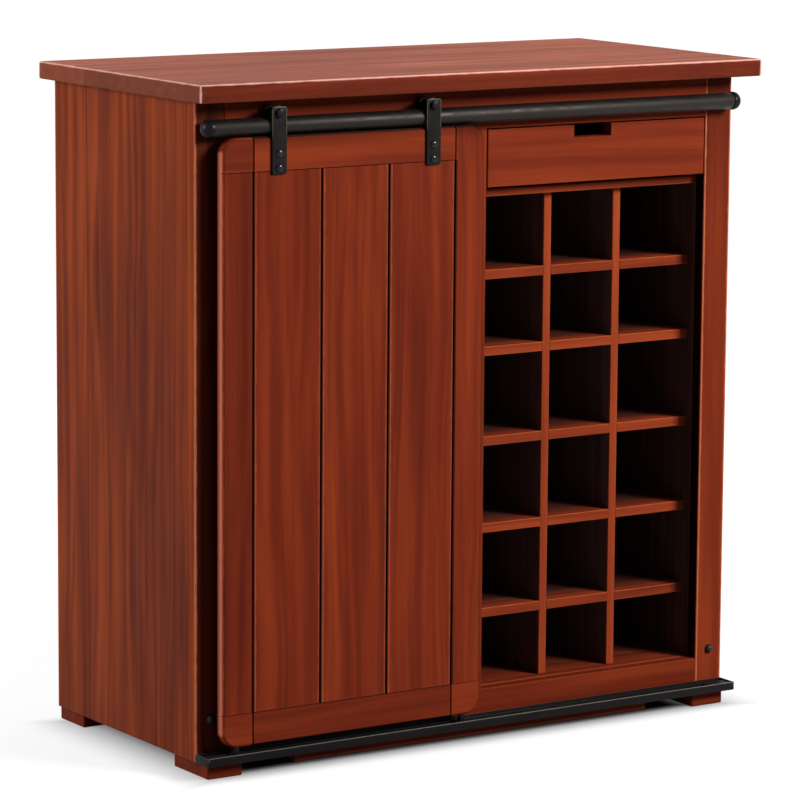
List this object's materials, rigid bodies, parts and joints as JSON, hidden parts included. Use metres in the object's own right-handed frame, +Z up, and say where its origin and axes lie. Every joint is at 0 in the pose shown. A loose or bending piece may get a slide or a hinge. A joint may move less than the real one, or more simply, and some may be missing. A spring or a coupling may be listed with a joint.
{
  "type": "bar cabinet",
  "caption": "Low cherry-coloured wooden bar cabinet with a plank door that slides on a black rail, an inset drawer with a finger notch and an egg-crate bottle rack.",
  "frame": {"origin": "on the floor, under the middle of the top slab's outline", "axes": "+X to the viewer's right along the front, +Y to the back, +Z up"},
  "size_m": [0.896, 0.432, 0.914],
  "materials": {
    "top_wood": "satin",
    "case_wood": "satin",
    "door_wood": "satin",
    "drawer_wood": "satin",
    "rack_wood": "satin",
    "inner_wood": "matte",
    "black_metal": "satin",
    "black_plastic": "matte",
    "black_rubber": "matte",
    "bright_steel": "brushed"
  },
  "bodies": {
    "cabinet": {"back_panel": "inner_wood", "bottom_panel": "inner_wood", "bottom_rail": "case_wood", "centre_partition": "inner_wood", "centre_stile": "case_wood", "dust_board": "rack_wood", "floor_track": "black_metal", "hanging_rail": "black_metal", "inner_shelf": "inner_wood", "kicker_rail": "inner_wood", "left_front_foot": "case_wood", "left_rear_foot": "case_wood", "left_side_front_board": "case_wood", "left_side_rear_board": "case_wood", "left_stile": "case_wood", "plinth_strip": "case_wood", "rack_divider_left": "rack_wood", "rack_divider_right": "rack_wood", "rack_liner": "inner_wood", "rack_shelf_1": "rack_wood", "rack_shelf_2": "rack_wood", "rack_shelf_3": "rack_wood", "rack_shelf_4": "rack_wood", "rack_shelf_5": "rack_wood", "rail_end_caps": "black_metal", "rail_standoffs": "black_metal", "right_front_foot": "case_wood", "right_rear_foot": "case_wood", "right_side_front_board": "case_wood", "right_side_rear_board": "case_wood", "right_stile": "case_wood", "shelf_cleats": "inner_wood", "stile_bumpers": "black_rubber", "top_front_board": "top_wood", "top_rail": "case_wood", "top_rear_board": "top_wood", "track_end_caps": "black_plastic"},
    "door": {"door_left_stile": "door_wood", "door_right_stile": "door_wood", "door_top_rail": "door_wood", "door_bottom_rail": "door_wood", "door_corner_blocks": "door_wood", "door_plank_1": "door_wood", "door_plank_2": "door_wood", "door_plank_3": "door_wood", "hanger_straps": "black_metal", "strap_bolts": "black_metal", "hanger_axles": "black_metal", "guide_pins": "black_metal"},
    "left_wheel": {"left_wheel": "black_metal"},
    "right_wheel": {"right_wheel": "black_metal"},
    "left_guide_roller": {"left_guide_roller": "black_plastic"},
    "right_guide_roller": {"right_guide_roller": "black_plastic"},
    "drawer": {"drawer_front": "drawer_wood", "drawer_left_side": "inner_wood", "drawer_right_side": "inner_wood", "drawer_back": "inner_wood", "drawer_bottom": "inner_wood", "stop_button_screw": "bright_steel"},
    "stop_button": {"drawer_stop_button": "inner_wood"}
  },
  "joints": [
    {"name": "door_slide", "type": "slide", "parent": "cabinet", "child": "door", "axis": [1, 0, 0], "range_m": [0, 0.408]},
    {"name": "left_wheel_spin", "type": "hinge", "parent": "door", "child": "left_wheel", "pos_m": [-0.323, -0.1888, 0.8723], "axis": [0, 1, 0], "continuous": true},
    {"name": "right_wheel_spin", "type": "hinge", "parent": "door", "child": "right_wheel", "pos_m": [-0.085, -0.1888, 0.8723], "axis": [0, 1, 0], "continuous": true},
    {"name": "left_guide_roller_spin", "type": "hinge", "parent": "door", "child": "left_guide_roller", "pos_m": [-0.382, -0.193, 0.0281], "axis": [0, 0, 1], "continuous": true},
    {"name": "right_guide_roller_spin", "type": "hinge", "parent": "door", "child": "right_guide_roller", "pos_m": [-0.026, -0.193, 0.0281], "axis": [0, 0, 1], "continuous": true},
    {"name": "drawer_slide", "type": "slide", "parent": "cabinet", "child": "drawer", "axis": [0, 1, 0], "range_m": [-0.25, 0]},
    {"name": "stop_button_turn", "type": "hinge", "parent": "drawer", "child": "stop_button", "pos_m": [0.204, 0.1627, 0.8135], "axis": [0, 1, 0], "range_deg": [-90, 90]}
  ],
  "couplings": [
    {"joint": "left_wheel_spin", "follows": "door_slide", "rad_per_m": 181.82},
    {"joint": "right_wheel_spin", "follows": "door_slide", "rad_per_m": 181.82}
  ]
}
